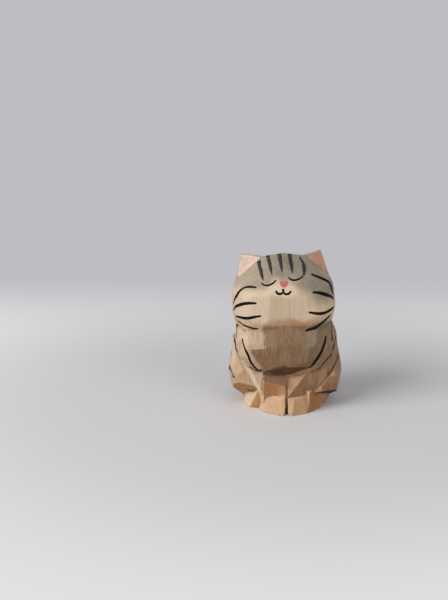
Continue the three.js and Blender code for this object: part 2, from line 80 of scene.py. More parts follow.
def ease(low, high, value):
    """0 below low, 1 above high and smooth between, for one number or an array of them."""
    part = np.clip((value - low) / (high - low), 0.0, 1.0)
    return part * part * (3.0 - 2.0 * part)


def between(rise, fall, value):
    """1 between two soft edges. Each edge is the value at which it is 0, then that where it is 1."""
    return ease(*rise, value) * ease(*fall, value)


def add_piece(name, mesh, material, node):
    """A piece of this mesh that rides on the root and stands for a node of the CAD model."""
    mesh.materials.append(material)
    piece = bpy.data.objects.new(name, mesh)
    bpy.context.scene.collection.objects.link(piece)
    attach(piece, "root")
    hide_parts(node)


def mesh_from(name, points, faces):
    """A smooth-shaded mesh from points in millimetres."""
    mesh = bpy.data.meshes.new(name)
    mesh.from_pydata([tuple(Vector(point) * MM) for point in points], [], faces)
    mesh.validate()
    mesh.shade_smooth()
    return mesh


def towards(bearing, tilt):
    """A direction from its bearing, 0 for the front and 90 for the cat's left, and its tilt."""
    bearing = math.radians(bearing)
    tilt = math.radians(tilt)
    return Vector((
        math.sin(bearing) * math.cos(tilt),
        -math.cos(bearing) * math.cos(tilt),
        math.sin(tilt),
    ))


def towards_on_head(bearing, tilt):
    """The same for the head, which leans."""
    return Matrix.Rotation(math.radians(head_lean), 3, "Y") @ towards(bearing, tilt)


def curve_point(a, b, leave, arrive, t):
    """The point at share t of a curve from a to b, with the speeds that it leaves and arrives at."""
    return (
        a * (2 * t ** 3 - 3 * t ** 2 + 1)
        + leave * (t ** 3 - 2 * t ** 2 + t)
        + b * (3 * t ** 2 - 2 * t ** 3)
        + arrive * (t ** 3 - t ** 2)
    )


def spaced(line, count, to_end=True):
    """This many evenly spaced points along a line of points, with its last point or without it."""
    lengths = [0.0]
    for a, b in zip(line, line[1:]):
        lengths.append(lengths[-1] + (b - a).length)
    marks = np.linspace(0.0, lengths[-1], count, endpoint=to_end)
    columns = [np.interp(marks, lengths, [point[axis] for point in line]) for axis in range(3)]
    return [Vector(values) for values in zip(*columns)]


def smooth_path(points, steps):
    """Evenly spaced points along a centripetal curve through the given points."""
    ends = [points[0] * 2 - points[1], *points, points[-1] * 2 - points[-2]]
    fine_steps = 24
    fine = []
    for i in range(1, len(ends) - 2):
        p0, p1, p2, p3 = ends[i - 1:i + 3]
        gaps = [max((b - a).length ** 0.5, 1e-6) for a, b in ((p0, p1), (p1, p2), (p2, p3))]
        leave = (p1 - p0) / gaps[0] - (p2 - p0) / (gaps[0] + gaps[1]) + (p2 - p1) / gaps[1]
        arrive = (p2 - p1) / gaps[1] - (p3 - p1) / (gaps[1] + gaps[2]) + (p3 - p2) / gaps[2]
        leave *= gaps[1]
        arrive *= gaps[1]
        for k in range(fine_steps):
            fine.append(curve_point(p1, p2, leave, arrive, k / fine_steps))
    fine.append(points[-1].copy())
    return spaced(fine, steps + 1)


def closed_outline(corners, steps):
    """A closed smooth outline through the corners."""
    count = len(corners)
    outline = []
    for i in range(count):
        p0, p1, p2, p3 = (corners[(i + k - 1) % count] for k in range(4))
        leave = (p2 - p0) * 0.35
        arrive = (p3 - p1) * 0.35
        for k in range(steps):
            outline.append(curve_point(p1, p2, leave, arrive, k / steps))
    return outline


def welded(mesh):
    """The mesh with its doubled corners joined, open for editing."""
    solid = bmesh.new()
    solid.from_mesh(mesh)
    bmesh.ops.remove_doubles(solid, verts=solid.verts, dist=1e-7)
    solid.normal_update()
    return solid


# The camera stands where the photo was taken: its place in millimetres, the ways to its right and
# forward, and its lens and sensor in millimetres.

camera_place = Vector((0.0, -599.6, 216.3))
camera_right = Vector((0.99897, 0.04533, 0.0))
camera_forward = Vector((-0.04363, 0.96140, -0.27167))
camera_lens = 85
camera_sensor = 36


def make_camera():
    camera = bpy.data.cameras.new("camera")
    camera.lens = camera_lens
    camera.sensor_fit = "VERTICAL"
    camera.sensor_height = camera_sensor
    camera.clip_start = 0.01
    camera.clip_end = 20
    forward = camera_forward.normalized()
    right = (camera_right - forward * camera_right.dot(forward)).normalized()
    up = right.cross(forward)
    turn = Matrix((right, up, -forward)).transposed().to_4x4()
    holder = bpy.data.objects.new("camera", camera)
    holder.matrix_world = Matrix.Translation(camera_place * MM) @ turn
    bpy.context.scene.collection.objects.link(holder)
    bpy.context.scene.camera = holder


# The carved wood

class Facets:
    """The flat knife cuts of the plain solid, and the ridges and creases between them."""

    def __init__(self, plain):
        solid = welded(plain)
        solid.faces.ensure_lookup_table()
        solid.faces.index_update()
        self.tree = BVHTree.FromBMesh(solid)
        self.normals = np.array([face.normal[:] for face in solid.faces])
        self.group = self.grouped(solid)
        self.ridges, self.creases = map(self.searchable, self.lines(solid, facet_turn))
        self.deep_creases = self.searchable(self.lines(solid, deep_turn)[1])
        self.crisp = {
            zone: self.searchable(sum(self.lines(solid, turn), [])) for zone, turn in crisp_turns.items()
        }
        solid.free()

    @staticmethod
    def grouped(solid):
        """A number for each face, shared by faces that lie in one flat cut."""
        group = [-1] * len(solid.faces)
        count = 0
        for start in solid.faces:
            if group[start.index] >= 0:
                continue
            group[start.index] = count
            stack = [start]
            while stack:
                face = stack.pop()
                for edge in face.edges:
                    for other in edge.link_faces:
                        if group[other.index] < 0 and other.normal.angle(face.normal, 0) < facet_turn:
                            group[other.index] = count
                            stack.append(other)
            count += 1
        return np.array(group)

    def front_cut(self, across, up):
        """The number of the flat cut that is met first from the front, at this place."""
        start = Vector((across, -ray_start, up)) * MM
        face = self.tree.ray_cast(start, Vector((0.0, 1.0, 0.0)))[2]
        return self.group[face]

    @staticmethod
    def lines(solid, least_turn):
        """Points along the ridges and along the creases that turn at least this much."""
        ridges = []
        creases = []
        for edge in solid.edges:
            if not edge.is_manifold:
                continue
            turn = edge.calc_face_angle_signed(0)
            if abs(turn) < least_turn:
                continue
            a, b = (vert.co / MM for vert in edge.verts)
            steps = max(1, math.ceil((b - a).length / edge_spacing))
            line = ridges if turn > 0 else creases
            for k in range(steps + 1):
                line.append(a.lerp(b, k / steps))
        return ridges, creases

    @staticmethod
    def searchable(line):
        tree = kdtree.KDTree(len(line))
        for i, point in enumerate(line):
            tree.insert(point, i)
        tree.balance()
        return tree


def fine_copy(plain):
    """The block's mesh made of small even quads, as a new mesh."""
    rough = bpy.data.objects.new("rough_wood", plain.copy())
    bpy.context.scene.collection.objects.link(rough)
    remesh = rough.modifiers.new("fine", "REMESH")
    remesh.mode = "VOXEL"
    remesh.voxel_size = voxel * MM
    ready = rough.evaluated_get(bpy.context.evaluated_depsgraph_get())
    mesh = bpy.data.meshes.new_from_object(ready)
    bpy.data.objects.remove(rough)
    mesh.materials.clear()
    return mesh


def softened(points, edges, share, rounds):
    """The points moved towards the middle of their neighbours, each by its own share of half way."""
    a, b = edges.T
    count = len(points)
    neighbours = np.bincount(a, minlength=count) + np.bincount(b, minlength=count)
    neighbours = np.maximum(neighbours, 1)[:, None]
    for _ in range(rounds):
        total = np.empty_like(points)
        for axis in range(3):
            total[:, axis] = (
                np.bincount(a, weights=points[b, axis], minlength=count)
                + np.bincount(b, weights=points[a, axis], minlength=count)
            )
        points = points + 0.5 * share[:, None] * (total / neighbours - points)
    return points


def zone_at(height):
    if height < legs_top:
        return "legs"
    return "trunk" if height < head_bottom else "head"


def read_points(points, facets):
    """How far each point is from the ridges and creases, and which flat cut is nearest to it."""
    count = len(points)
    read = {key: np.empty(count) for key in ("ridge", "crease", "deep_crease", "crisp")}
    read["points"] = points
    read["normals"] = np.empty((count, 3))
    read["group"] = np.empty(count, dtype=int)
    for i, point in enumerate(points):
        place = Vector(point)
        read["ridge"][i] = facets.ridges.find(place)[2]
        read["crease"][i] = facets.creases.find(place)[2]
        read["deep_crease"][i] = facets.deep_creases.find(place)[2]
        read["crisp"][i] = facets.crisp[zone_at(point[2])].find(place)[2]
        face = facets.tree.find_nearest(place * MM)[2]
        read["normals"][i] = facets.normals[face]
        read["group"][i] = facets.group[face]
    return read


def carve(mesh, facets):
    """Hollows each cut slightly and rubs the shallow ridges round, and leaves the base flat."""
    flat = np.empty(len(mesh.vertices) * 3)
    mesh.vertices.foreach_get("co", flat)
    points = flat.reshape(-1, 3) / MM
    read = read_points(points, facets)
    hollow = hollow_depth * (1.0 - np.exp(-read["ridge"] / hollow_reach))
    near_base = ease(0.0, 0.8, points[:, 2])
    points = points - read["normals"] * (hollow * near_base)[:, None]

    edges = np.empty(len(mesh.edges) * 2, dtype=int)
    mesh.edges.foreach_get("vertices", edges)
    edges = edges.reshape(-1, 2)
    points = softened(points, edges, np.ones(len(points)), rounds_everywhere)
    away = ease(0.25 * crisp_reach, crisp_reach, read["crisp"]) * near_base
    points = softened(points, edges, away, rounds_on_body)
    on_head = ease(head_bottom - 3.0, head_bottom + 3.0, points[:, 2])
    points = softened(points, edges, away * on_head, rounds_on_head)
    points[:, 2] = np.maximum(points[:, 2], 0.0)
    mesh.vertices.foreach_set("co", (points * MM).reshape(-1))
    mesh.update()
    read["points"] = points
    return read


# Colours of the wood, of the thin washes on it and of the painted light and shade on it, written as they
# look on screen
bare_wood = (226, 188, 148)
cream_wood = (232, 213, 187)
pale_wood = (243, 224, 198)
umber_stain_and_shade = (146, 112, 84)
dark_stain_and_shade = (112, 80, 56)
shadow_wood = (76, 47, 27)
slate_wood = (156, 122, 94)
honey_wood = (240, 172, 110)
white_cream = (255, 232, 196)
grey_wash = (146, 138, 119)
brown_wash = (152, 123, 94)
grey_wash_and_shade = (166, 141, 114)
grey_brown_wash = (172, 160, 138)
deep_brown_wash = (108, 68, 38)
groove_shade = (156, 112, 78)
strip_bare_and_lit = (255, 230, 198)

# The grey wash on the head: places across it and the height of its lower edge at each, then how
# softly that edge fades out and how strong the wash is. Behind, its edge lies at one height.
grey_edge_across = [-24, -12, -8, -5, -1, 2, 8, 14, 24]
grey_edge_height = [54.5, 56.0, 57.3, 59.8, 60.5, 59.5, 55.8, 52.6, 52.0]
grey_soft_across = [-10, 8, 16]
grey_softness = [2.4, 3.2, 3.6]
grey_strong_across = [-22, -12, -4, 2, 6, 12]
grey_strength = [0.5, 0.6, 0.84, 0.84, 0.76, 0.86]
grey_edge_behind = 42.0
grey_strength_behind = 0.85

# A light patch beside the nose: its middle across and up
light_patch = (-4.4, 59.0)

# The brown wash on the chest: heights, and how far it reaches to the cat's right and left at each
brown_right_height = [17, 20, 26, 29.3, 30.6, 40]
brown_right_reach = [2.5, 8.5, 13.5, 15.0, 9.0, 9.5]
brown_left_height = [17, 20, 26, 32, 40]
brown_left_reach = [4.0, 10.0, 15.0, 17.5, 20.0]

# The painted shade below the chest: places across it, and the heights of its upper and lower edge
undercut_across = [-9.1, -6.5, -4.3, -2.2, 0.1, 1.3, 4.3, 7.7, 11.1]
undercut_top = [19.6, 20.9, 21.7, 22.5, 23.2, 22.2, 22.1, 22.2, 22.0]
undercut_bottom = [17.0, 17.0, 17.0, 17.0, 17.2, 18.0, 19.2, 20.6, 21.9]

# The cat's right shin has a pale strip along its outer side: heights and the strip's inner edge there
strip_height = [1.3, 7.4, 16.9, 19.8]
strip_edge = [-9.0, -9.1, -13.5, -15.5]
strip_width = 2.2

# Flat cuts that lean to a colour of their own, each named by a place in front of it: across and
# up in millimetres, the colour that it leans to and how far. Most took more or less of the stain,
# and the ones marked below carry painted light or painted shade.
stained_cuts = {
    # Painted light: bare pale wood painted as bright as it goes, where the lamps leave the toes dim.
    "right_hind_toes": (-15.4, 5.1, (255, 238, 208), 0.97),
    "right_hind_pared": (-13.1, 2.9, honey_wood, 0.9),
    # Painted light: the upper end of the pale strip, painted brighter than bare wood.
    "right_leg_bevel": (-10.1, 6.3, white_cream, 0.97),
    "right_paw_outer": (-9.0, 3.0, white_cream, 0.8),
    # Painted shade: darker under the chest.
    "right_leg_upper": (-7.3, 15.4, (126, 92, 66), 0.88),
    "right_leg_lower": (-5.1, 10.1, (192, 136, 84), 0.88),
    "right_paw_front": (-4.2, 4.6, (238, 194, 148), 0.5),
    "left_leg_inner": (2.2, 15.7, (170, 140, 118), 0.35),
    "left_leg_outer": (6.6, 11.7, slate_wood, 0.75),
    "left_shoulder_flat": (14.5, 11.2, slate_wood, 0.2),
    "left_paw_front": (5.0, 5.8, (200, 148, 102), 0.4),
    "left_hind_toes": (12.4, 5.2, (198, 140, 88), 0.85),
    # Painted shade under the cat's left haunch.
    "left_haunch_undercut": (20.3, 3.2, shadow_wood, 0.85),
    "left_foot_side": (17.0, 5.5, bare_wood, 0.2),
    "left_haunch_slant": (16.3, 12.9, (162, 114, 78), 0.7),
    "left_haunch_front": (19.7, 15.1, (156, 108, 74), 0.75),
    "left_haunch_crest": (18.9, 16.2, (128, 90, 62), 0.7),
    "left_haunch_side": (22.1, 8.7, (160, 110, 74), 0.6),
    "left_haunch_rear": (22.4, 17.8, (154, 108, 74), 0.65),
    # Painted light: a bright warm colour under the right haunch, where it lies in shade.
    "right_haunch_undercut": (-19.7, 11.1, (248, 202, 150), 0.97),
    "right_haunch_upper": (-21.5, 18.4, (212, 168, 122), 0.3),
    "right_haunch_front": (-17.5, 13.3, (208, 160, 108), 0.35),
    "right_of_muzzle": (-8.9, 52.4, pale_wood, 0.3),
    "middle_of_muzzle": (-2.5, 50.4, brown_wash, 0.16),
    "left_of_muzzle": (4.3, 50.4, pale_wood, 0.2),
}


def on_screen(colour):
    """The linear value of a colour that is written as it looks on screen."""
    share = np.array(colour, dtype=float) / 255.0
    return np.where(share <= 0.04045, share / 12.92, ((share + 0.055) / 1.055) ** 2.4)


def blot(points, size, seed):
    """Soft blotches between -1 and 1, of about this size in millimetres."""
    shift = Vector((seed * 13.7, seed * 7.1, seed * 3.3))
    return np.array([noise.noise(Vector(point) / size + shift) for point in points])


class StainAndShade:
    """The colour of the wood at each point, built up layer by layer: washes, and painted light and shade."""

    def __init__(self, read, facets):
        self.read = read
        self.facets = facets
        self.x, self.y, self.z = read["points"].T
        self.wander = blot(read["points"], 7.0, 1)
        self.flicker = blot(read["points"], 2.2, 2)
        self.colour = np.tile(on_screen(bare_wood), (len(self.x), 1))
        self.front = ease(0.05, 0.6, -read["normals"][:, 1])
        self.on_head = ease(37.0, 40.0, self.z + 0.25 * self.y)

    def lay(self, wash, share):
        share = np.clip(share, 0.0, 1.0)[:, None]
        self.colour = self.colour * (1.0 - share) + on_screen(wash) * share

    def cream_areas(self):
        """Cream on the muzzle and cheeks and down the cat's right side, and a greyer left side,
        where a grey wash and painted shade lie on the side away from the light.
        """
        self.lay(cream_wood, self.on_head)
        below_head = 1.0 - self.on_head
        upper = ease(14.0, 24.0, self.z + 2.0 * self.wander)
        rightward = ease(4.0, -9.0, self.x + 2.0 * self.wander)
        leftward = ease(9.0, 16.0, self.x + 1.5 * self.wander)
        self.lay(pale_wood, below_head * rightward * (0.55 + 0.35 * upper))
        self.lay(grey_wash_and_shade, below_head * leftward * (0.3 + 0.5 * upper))
        low_cheek = ease(-9.0, -15.0, self.x + self.wander) * ease(57.0, 53.0, self.z)
        self.lay(pale_wood, self.on_head * low_cheek * 0.5)
        left_cheek = ease(7.0, 11.0, self.x + self.wander) * ease(50.5, 48.0, self.z)
        self.lay(white_cream, self.on_head * left_cheek * 0.7)

    def grey_areas(self):
        """The grey wash comes down from the crown, lower on the cat's left cheek, and down the
        back. A light patch beside the nose stays free of it."""
        edge = np.interp(self.x, grey_edge_across, grey_edge_height)
        softness = np.interp(self.x, grey_soft_across, grey_softness)
        behind = ease(-2.0, 8.0, self.y + 1.5 * self.wander)
        edge = edge * (1.0 - behind) + grey_edge_behind * behind
        above = self.z - edge + 1.2 * self.wander + 0.6 * self.flicker
        high = ease(-1.0, 1.0, above / softness)
        strength = np.interp(self.x, grey_strong_across, grey_strength)
        strength = strength * (1.0 - behind) + grey_strength_behind * behind
        on_crown = self.on_head * high * (strength + 0.16 * self.wander)
        behind_flank = ease(5.0, 13.0, self.y + 2.0 * self.wander + self.flicker)
        down_back = (1.0 - self.on_head) * behind_flank
        down_back = down_back * ease(12.0, 22.0, self.z) * (0.6 + 0.2 * self.wander)
        wash = np.clip(on_crown + down_back, 0.0, 1.0)
        self.lay(grey_wash, wash)
        from_patch = np.hypot(self.x - light_patch[0], self.z - light_patch[1])
        from_patch = from_patch + 0.5 * self.flicker
        self.lay(pale_wood, 0.55 * ease(3.8, 1.2, from_patch) * self.front)
        return wash

    def brown_chest(self):
        """The brown wash down the chest, between the two chest lines, deeper lower down."""
        right_reach = np.interp(self.z, brown_right_height, brown_right_reach)
        left_reach = np.interp(self.z, brown_left_height, brown_left_reach)
        right_edge = ease(-1.2, 1.2, self.x + right_reach + 0.7 * self.flicker)
        left_edge = ease(1.2, -1.2, self.x - left_reach + 0.9 * self.flicker)
        below_chin = ease(41.8, 39.2, self.z + 0.4 * self.wander)
        above_legs = ease(15.5, 18.5, self.z)
        band = left_edge * below_chin * above_legs * self.front
        self.lay(brown_wash, band * ease(-17.0, -14.0, self.x) * 0.3)
        share = right_edge * band
        self.lay(brown_wash, share * (0.94 + 0.2 * self.wander))
        leftward = ease(0.0, 13.0, self.x + 2.0 * self.wander) * ease(21.0, 26.0, self.z)
        self.lay(grey_brown_wash, share * leftward * 0.55)
        lower = ease(30.0, 19.0, self.z + 1.5 * self.wander)
        self.lay(deep_brown_wash, share * lower * 0.34)
        return share

    def undercut_shade(self):
        """Faces that look down get painted shade. On the chest the painted shade lies in a band between
        two crisp lines, and the downward faces above and below it are painted light."""
        down = -self.read["normals"][:, 2]
        off_base = between((1.0, 3.0), (26.0, 23.0), self.z)
        top = np.interp(self.x, undercut_across, undercut_top)
        bottom = np.interp(self.x, undercut_across, undercut_bottom)
        on_chest = (np.abs(self.x - 1.0) < 10.5) & (self.y < -15.0) & (self.z > 17.4)
        above = ease(-0.25, 0.25, self.z - top)
        below = ease(0.25, -0.25, self.z - bottom)
        dark = np.where(on_chest, (1.0 - above) * (1.0 - below), ease(0.25, 0.5, down) * off_base)
        self.lay(shadow_wood, 0.73 * dark)
        # Painted light above and below the band: the chest's downward faces are painted as bare, lit wood.
        self.lay(bare_wood, on_chest * (0.2 * above * ease(0.2, 0.35, down) + 0.75 * below))

    def pale_strip(self):
        """A pale strip of bare wood lies between the cat's right shin and its haunch, painted brighter
        still: painted light where it lies in shade.
        """
        inner = np.interp(self.z, strip_height, strip_edge) + 0.25 * self.flicker
        outwards = inner - self.x
        within = ease(-0.25, 0.25, outwards) * ease(0.3, -0.3, outwards - strip_width)
        fore = ease(-10.5, -11.5, self.y) * ease(20.5, 19.0, self.z)
        self.lay(strip_bare_and_lit, within * fore)

    def groove(self):
        """Inside the narrow groove between the front legs the wood is painted a warm brown: painted shade.
        """
        beside = ease(0.9, 0.5, np.abs(self.x - groove_offset))
        inside = beside * ease(0.75, 0.9, np.abs(self.read["normals"][:, 0]))
        in_front = ease(18.5, 17.5, self.z) * ease(-8.0, -10.0, self.y)
        self.lay(groove_shade, inside * in_front * 0.9)

    def bare_patches(self):
        """Bare wood shows on the inner side of the cat's right shin and on its left shoulder."""
        shin_side = ease(-3.6, -2.4, self.x - 0.12 * (self.z - 8.0)) * ease(0.4, 0.2, self.x)
        on_shin = between((7.4, 8.2), (13.6, 12.4), self.z) * self.front
        self.lay(bare_wood, shin_side * on_shin * 0.65)
        left_shoulder = ease(7.5, 12.0, self.x) * between((10.0, 14.0), (22.0, 19.0), self.z)
        self.lay(bare_wood, left_shoulder * self.front * 0.3)

    def cuts(self):
        """Each cut through the grain has a tone of its own, and the listed cuts lean to their own colour:
        stain on most, painted light on some and painted shade on others.
        """
        tone = np.sin(self.read["group"] * 12.9898) * 43758.5453
        tone = (tone - np.floor(tone)) - 0.5
        amount = 0.15 - 0.10 * self.on_head
        self.colour *= (1.0 + amount * tone)[:, None]
        for across, up, wash, share in stained_cuts.values():
            self.lay(wash, share * (self.read["group"] == self.facets.front_cut(across, up)))

    def edges(self):
        """The creases are darker, with stain gathered in them and painted shade, and the sharp ridges
        are paler, rubbed and with a painted highlight.
        """
        self.lay(umber_stain_and_shade, 0.2 * np.exp(-self.read["crease"] / 0.4))
        self.lay(dark_stain_and_shade, 0.6 * np.exp(-self.read["deep_crease"] / 0.5) * (1.0 - 0.6 * self.on_head))
        shin = between((-10.0, -9.0), (0.3, -0.7), self.x)
        shin *= ease(8.5, 9.5, self.z)
        rubbed_and_highlit = np.exp(-self.read["crisp"] / 0.28) * ease(0.4, 1.2, self.read["crease"])
        rubbed_and_highlit *= 1.0 - 0.8 * shin
        self.lay(pale_wood, rubbed_and_highlit * (0.12 + 0.3 * ease(20.0, 16.0, self.z)))


def wood_colour(read, facets):
    """The colour of the wood at each point before the grain, with its painted light and shade, and
    how much wash and grain show.
    """
    stain = StainAndShade(read, facets)
    stain.cream_areas()
    wash = stain.grey_areas()
    chest = stain.brown_chest()
    stain.undercut_shade()
    stain.cuts()
    stain.edges()
    stain.groove()
    stain.bare_patches()
    stain.pale_strip()
    grain = 0.34 + 0.41 * (1.0 - stain.on_head) + 0.25 * chest
    return np.clip(stain.colour, 0.0, 1.0), wash, grain


def store(mesh, name, kind, values):
    """Keeps a value or a colour for each point of the mesh."""
    attribute = mesh.attributes.new(name, kind, "POINT")
    key = "color" if kind == "FLOAT_COLOR" else "value"
    attribute.data.foreach_set(key, np.asarray(values, dtype=np.float32).ravel())


def store_stain_and_shade(mesh, read, facets, tint=None):
    """Keeps the wood's colour, with its painted light and shade, and its wash and grain with the mesh,
    under a tint where there is one.
    """
    colour, wash, grain = wood_colour(read, facets)
    if tint is not None:
        colour = tint(colour, read["points"])
    # The colour kept as stain holds the painted light and shade as well.
    store(mesh, "stain", "FLOAT_COLOR", np.column_stack([colour, np.ones(len(colour))]))
    store(mesh, "wash", "FLOAT", wash)
    store(mesh, "grain", "FLOAT", grain)


def make_wood(facets, material):
    mesh = fine_copy(nodes["wooden_body"].data)
    read = carve(mesh, facets)
    store_stain_and_shade(mesh, read, facets)
    mesh.shade_smooth()
    mesh.name = "carved_wood"
    add_piece("carved_wood", mesh, material, "wooden_body")
    return mesh_tree(mesh)


def mesh_tree(mesh):
    """A search tree of a mesh, in millimetres."""
    points = [vert.co / MM for vert in mesh.vertices]
    return BVHTree.FromPolygons(points, [tuple(poly.vertices) for poly in mesh.polygons])


# Materials

class Tree:
    """A tree of shader nodes, with short ways to add and join them."""

    def __init__(self, tree):
        self.tree = tree

    def node(self, kind, inputs=(), **settings):
        """A new node with its settings and with what goes into it."""
        made = self.tree.nodes.new(kind)
        for key, value in settings.items():
            setattr(made, key, value)
        self.fill(made, dict(inputs))
        return made

    def fill(self, node, inputs):
        for key, value in inputs.items():
            self.feed(node.inputs[key], value)

    def feed(self, socket, value):
        """Joins an output to the socket, or sets the socket to a colour or to numbers."""
        if isinstance(value, bpy.types.NodeSocket):
            self.tree.links.new(value, socket)
        elif isinstance(value, tuple):
            socket.default_value = (*on_screen(value), 1.0)
        else:
            socket.default_value = value

    def math(self, operation, a, b):
        return self.node("ShaderNodeMath", {0: a, 1: b}, operation=operation).outputs[0]

    def colour_mix(self, share, a, b, blend="MIX"):
        made = self.node("ShaderNodeMix", data_type="RGBA", blend_type=blend)
        colours = [socket for socket in made.inputs if socket.type == "RGBA"]
        for socket, value in zip((made.inputs[0], *colours), (share, a, b)):
            self.feed(socket, value)
        return [socket for socket in made.outputs if socket.type == "RGBA"][0]

    def shader_mix(self, share, a, b):
        return self.node("ShaderNodeMixShader", {0: share, 1: a, 2: b}).outputs[0]

    def seen(self):
        """1 where this is seen, straight on, in a reflection or through glass, and 0 for its light."""
        light_path = self.node("ShaderNodeLightPath")
        seen = light_path.outputs["Is Camera Ray"]
        for kind in ("Is Glossy Ray", "Is Transmission Ray"):
            seen = self.math("MAXIMUM", seen, light_path.outputs[kind])
        return seen


class Shader(Tree):
    """The nodes of a new material with a principled shader."""

    def __init__(self, name, roughness, shine=0.35):
        self.material = bpy.data.materials.new(name)
        self.material.use_nodes = True
        super().__init__(self.material.node_tree)
        self.surface = self.tree.nodes["Principled BSDF"]
        self.fill(self.surface, {"Roughness": roughness, "Specular IOR Level": shine})

    def stretched(self, place, scale):
        """Coordinates stretched so that one unit is this long each way."""
        inputs = {"Vector": place, "Scale": [1.0 / size for size in scale]}
        return self.node("ShaderNodeMapping", inputs).outputs["Vector"]

    def object_space(self, scale):
        """Object coordinates stretched so that one unit is this many millimetres each way."""
        place = self.node("ShaderNodeTexCoord").outputs["Object"]
        return self.stretched(place, [size * MM for size in scale])

    def noise(self, vector, detail, rough, bend=0.0):
        inputs = {"Vector": vector, "Scale": 1.0, "Detail": detail, "Roughness": rough, "Distortion": bend}
        return self.node("ShaderNodeTexNoise", inputs).outputs["Fac"]

    def ramp(self, value, stops):
        inputs = dict(zip(("From Min", "From Max", "To Min", "To Max"), stops), Value=value)
        made = self.node("ShaderNodeMapRange", inputs, interpolation_type="SMOOTHSTEP")
        return made.outputs["Result"]

    def bump(self, height, depth, normal=None):
        inputs = {"Height": height, "Strength": 1.0, "Distance": depth * MM}
        if normal is not None:
            inputs["Normal"] = normal
        return self.node("ShaderNodeBump", inputs).outputs["Normal"]

    def finish(self, colour, roughness, normal):
        self.fill(self.surface, {"Base Color": colour, "Roughness": roughness, "Normal": normal})
        return self.material


# The grain: broad growth bands, fine upright streaks, pale flecks and short dark pores. Each has
# the size of its pattern in millimetres and how fine and bent the pattern is, then where it starts
# and ends to show and how far it shows there, its tone and how the tone is mixed in.
grain_layers = {
    "bands": ((3.4, 3.4, 55.0), (3.0, 0.5, 0.4), (0.36, 0.68, 0.0, 0.30), (206, 170, 128), "MULTIPLY"),
    "streaks": ((0.42, 0.42, 11.0), (5.0, 0.62, 0.15), (0.44, 0.70, 0.0, 0.60), (180, 146, 114), "MULTIPLY"),
    "flecks": ((0.3, 0.3, 3.4), (3.0, 0.55), (0.56, 0.72, 0.0, 0.12), (255, 240, 216), "SCREEN"),
    "pores": ((0.15, 0.15, 1.9), (2.0, 0.5), (0.58, 0.72, 0.0, 0.42), (140, 104, 78), "MULTIPLY"),
}
blotch_tone = (196, 192, 176)


def wood_material():
    """Fine pale wood with upright grain, pores and knife marks, over the stain and the painted light
    and shade of each point.
    """
    shader = Shader("limewood", 0.66)
    # The stain colour read here holds the painted light and shade as well.
    colour, wash, grain = (
        shader.node("ShaderNodeAttribute", attribute_name=name).outputs[key]
        for name, key in (("stain", "Color"), ("wash", "Fac"), ("grain", "Fac"))
    )
    patterns = {}
    for name, (size, kind, stops, tone, blend) in grain_layers.items():
        patterns[name] = shader.noise(shader.object_space(size), *kind)
        share = shader.math("MULTIPLY", grain, shader.ramp(patterns[name], stops))
        colour = shader.colour_mix(share, colour, tone, blend)

    # Watercolour blotches where the wash lies
    blotches = shader.noise(shader.object_space((2.2, 2.2, 3.4)), 4.0, 0.6, 0.6)
    blotch_share = shader.math("MULTIPLY", wash, shader.ramp(blotches, (0.42, 0.66, 0.0, 0.45)))
    colour = shader.colour_mix(blotch_share, colour, blotch_tone, "MULTIPLY")

    # The blade leaves faint ripples, and the grain stands up a little.
    ripples = shader.noise(shader.object_space((1.6, 1.6, 0.8)), 3.0, 0.5, 0.3)
    normal = None
    for pattern, depth in ((ripples, 0.07), (patterns["streaks"], 0.05), (patterns["pores"], 0.03)):
        normal = shader.bump(pattern, depth, normal)
    roughness = shader.ramp(patterns["streaks"], (0.3, 0.75, 0.58, 0.78))
    return shader.finish(colour, roughness, normal)


# The paints: the colour where they lie full and where they lie thin, how dry the brush was and how
# rough they are
paints = {
    "black_paint": ((14, 6, 4), (60, 44, 34), 0.1, 0.6),
    "dry_black_paint": ((44, 34, 42), (124, 112, 104), 0.72, 0.62),
    "brushed_black_paint": ((22, 18, 17), (110, 92, 74), 0.4, 0.6),
    "pink_paint": ((203, 119, 121), (216, 154, 149), 0.4, 0.55),
}
paint_shine = 0.14


def paint_material(name):
    """Brushed paint with bristle streaks along the stroke, thin where the brush was dry."""
    full, thin, dryness, rough = paints[name]
    shader = Shader(name, rough, paint_shine)
    place = shader.node("ShaderNodeUVMap", uv_map="stroke").outputs["UV"]
    bristles = shader.noise(shader.stretched(place, (3.5, 0.14, 1.0)), 3.0, 0.6)
    patches = shader.noise(shader.stretched(place, (1.3, 0.7, 1.0)), 3.0, 0.6, 0.3)
    fine = shader.math("MULTIPLY", bristles, 0.55)
    coarse = shader.math("MULTIPLY", patches, 0.45)
    both = shader.math("ADD", fine, coarse)
    bare = shader.ramp(both, (0.62 - 0.22 * dryness, 0.74 - 0.14 * dryness, 0.0, 0.25 + 0.6 * dryness))
    colour = shader.colour_mix(bare, full, thin)
    roughness = shader.ramp(bristles, (0.3, 0.7, rough - 0.08, rough + 0.14))
    return shader.finish(colour, roughness, shader.bump(bristles, 0.02 + 0.02 * dryness))


# Brush strokes: width in millimetres, its share at start, middle and end and where given how slowly
# it thins towards them, and the points that it passes through, as bearing and tilt in degrees seen
# from the middle of the head or the body
even = (0.45, 1.0, 0.45)
fading = (1.0, 0.74, 0.12, 1.0)
swollen = (0.4, 1.0, 0.3)
rounded = (0.6, 1.0, 0.9)

